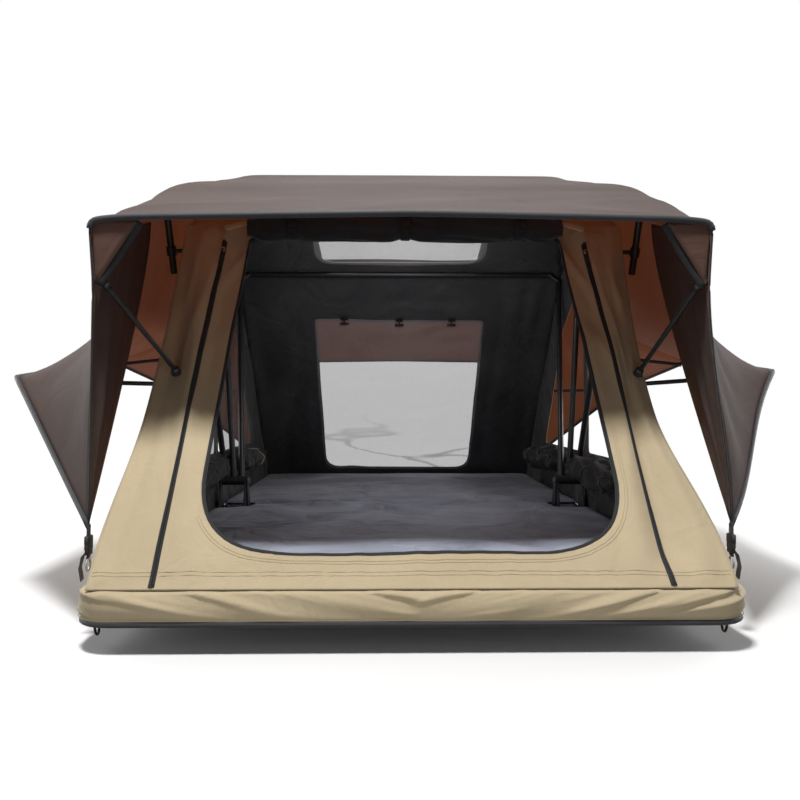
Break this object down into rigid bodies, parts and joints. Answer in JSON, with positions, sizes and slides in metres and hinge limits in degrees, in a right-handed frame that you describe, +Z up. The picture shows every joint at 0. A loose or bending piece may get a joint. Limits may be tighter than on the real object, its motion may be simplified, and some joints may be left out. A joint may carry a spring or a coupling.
{
  "type": "roof top tent",
  "caption": "Fold-out roof top tent on slotted rails: hinged base, folding bows, cloth body with door and windows, fly sheet with awnings, mattress.",
  "frame": {"origin": "under the hinge line in the middle of the base, level with the underside of the mounting rails", "axes": "+Z up, +X to the right seen from the door, the door faces -Y"},
  "size_m": [1.878, 2.3206, 1.197],
  "materials": {
    "khaki_cloth": "coated canvas",
    "fly_cloth": "coated cloth",
    "black_cloth": "black lining cloth",
    "mesh": "insect mesh",
    "velour": "velour",
    "webbing": "webbing",
    "piping": "piping",
    "cord": "braided cord",
    "floor_board": "sandwich panel",
    "frame_metal": "anodised",
    "rail_metal": "anodised",
    "bow_metal": "black powder coat",
    "bracket_metal": "black powder coat",
    "steel": "zinc plated",
    "plastic": "moulded"
  },
  "bodies": {
    "rear_base": {"rear_floor_panel": "floor_board", "rear_edge_frame": "frame_metal", "mounting_rails": "rail_metal", "rail_bolts": "steel", "rear_hinge_brackets": "bracket_metal", "rear_bracket_bolts": "steel", "hinge_pins": "steel", "rear_mattress": "velour", "rear_skirt": "khaki_cloth", "rear_skirt_piping": "piping", "tent_body_rear": "khaki_cloth", "rear_window_mesh": "mesh", "skylight_mesh": "mesh", "side_mesh_rear": "mesh", "side_flaps_rear": "black_cloth", "fly_rear": "fly_cloth", "fly_rear_piping": "piping", "side_rods_rear": "bow_metal", "rod_sockets_rear": "plastic", "tie_straps_rear": "webbing", "tie_buckles_rear": "plastic", "tie_hooks_rear": "plastic"},
    "front_base": {"front_floor_panel": "floor_board", "front_edge_frame": "frame_metal", "front_hinge_brackets": "bracket_metal", "front_bracket_bolts": "steel", "front_mattress": "velour", "front_skirt": "khaki_cloth", "front_skirt_piping": "piping", "corner_cords": "cord", "tent_body_front": "khaki_cloth", "door_binding": "piping", "door_roll": "black_cloth", "door_roll_straps": "webbing", "zip_tapes": "webbing", "side_mesh_front": "mesh", "side_flaps_front": "black_cloth", "fly_front": "fly_cloth", "fly_front_piping": "piping", "fly_corner_bands": "webbing", "corner_rods": "bow_metal", "side_rods_front": "bow_metal", "rod_sockets_front": "plastic", "tie_straps_front": "webbing", "tie_buckles_front": "plastic", "tie_hooks_front": "plastic"},
    "front_bow": {"front_bow_tube": "bow_metal", "front_bow_ends": "bracket_metal", "awning_bow_tube": "bow_metal", "awning_bow_clips": "plastic"},
    "centre_bow": {"centre_bow_tube": "bow_metal", "centre_bow_ends": "bracket_metal"},
    "rear_bow": {"rear_bow_tube": "bow_metal", "rear_bow_ends": "bracket_metal"},
    "left_zip": {"left_zip_slider": "plastic"},
    "right_zip": {"right_zip_slider": "plastic"}
  },
  "joints": [
    {"name": "base_fold", "type": "hinge", "parent": "rear_base", "child": "front_base", "pos_m": [0, 0, 0.2], "axis": [-1, 0, 0], "range_deg": [0, 180], "deforming": ["tent_body_rear", "rear_window_mesh", "skylight_mesh", "side_mesh_rear", "side_flaps_rear", "fly_rear", "fly_rear_piping", "side_rods_rear", "rod_sockets_rear", "tie_straps_rear", "tie_buckles_rear", "tie_hooks_rear", "tent_body_front", "door_binding", "door_roll", "door_roll_straps", "zip_tapes", "side_mesh_front", "side_flaps_front", "fly_front", "fly_front_piping", "fly_corner_bands", "corner_rods", "side_rods_front", "rod_sockets_front", "tie_straps_front", "tie_buckles_front", "tie_hooks_front", "left_zip_slider", "right_zip_slider"]},
    {"name": "front_bow_fold", "type": "hinge", "parent": "rear_base", "child": "front_bow", "pos_m": [0, 0, 0.2], "axis": [-1, 0, 0], "range_deg": [0, 114.1]},
    {"name": "centre_bow_fold", "type": "hinge", "parent": "rear_base", "child": "centre_bow", "pos_m": [0, 0, 0.2], "axis": [-1, 0, 0], "range_deg": [0, 90]},
    {"name": "rear_bow_fold", "type": "hinge", "parent": "rear_base", "child": "rear_bow", "pos_m": [0, 0, 0.2], "axis": [-1, 0, 0], "range_deg": [0, 66.3]},
    {"name": "left_zip_slide", "type": "slide", "parent": "front_base", "child": "left_zip", "axis": [0, 0.6773, 0.7357], "range_m": [-0.92, 0]},
    {"name": "right_zip_slide", "type": "slide", "parent": "front_base", "child": "right_zip", "axis": [0, 0.6773, 0.7357], "range_m": [-0.92, 0]}
  ],
  "couplings": [
    {"joint": "front_bow_fold", "follows": "base_fold", "ratio": 0.63389},
    {"joint": "centre_bow_fold", "follows": "base_fold", "ratio": 0.5},
    {"joint": "rear_bow_fold", "follows": "base_fold", "ratio": 0.36833}
  ]
}
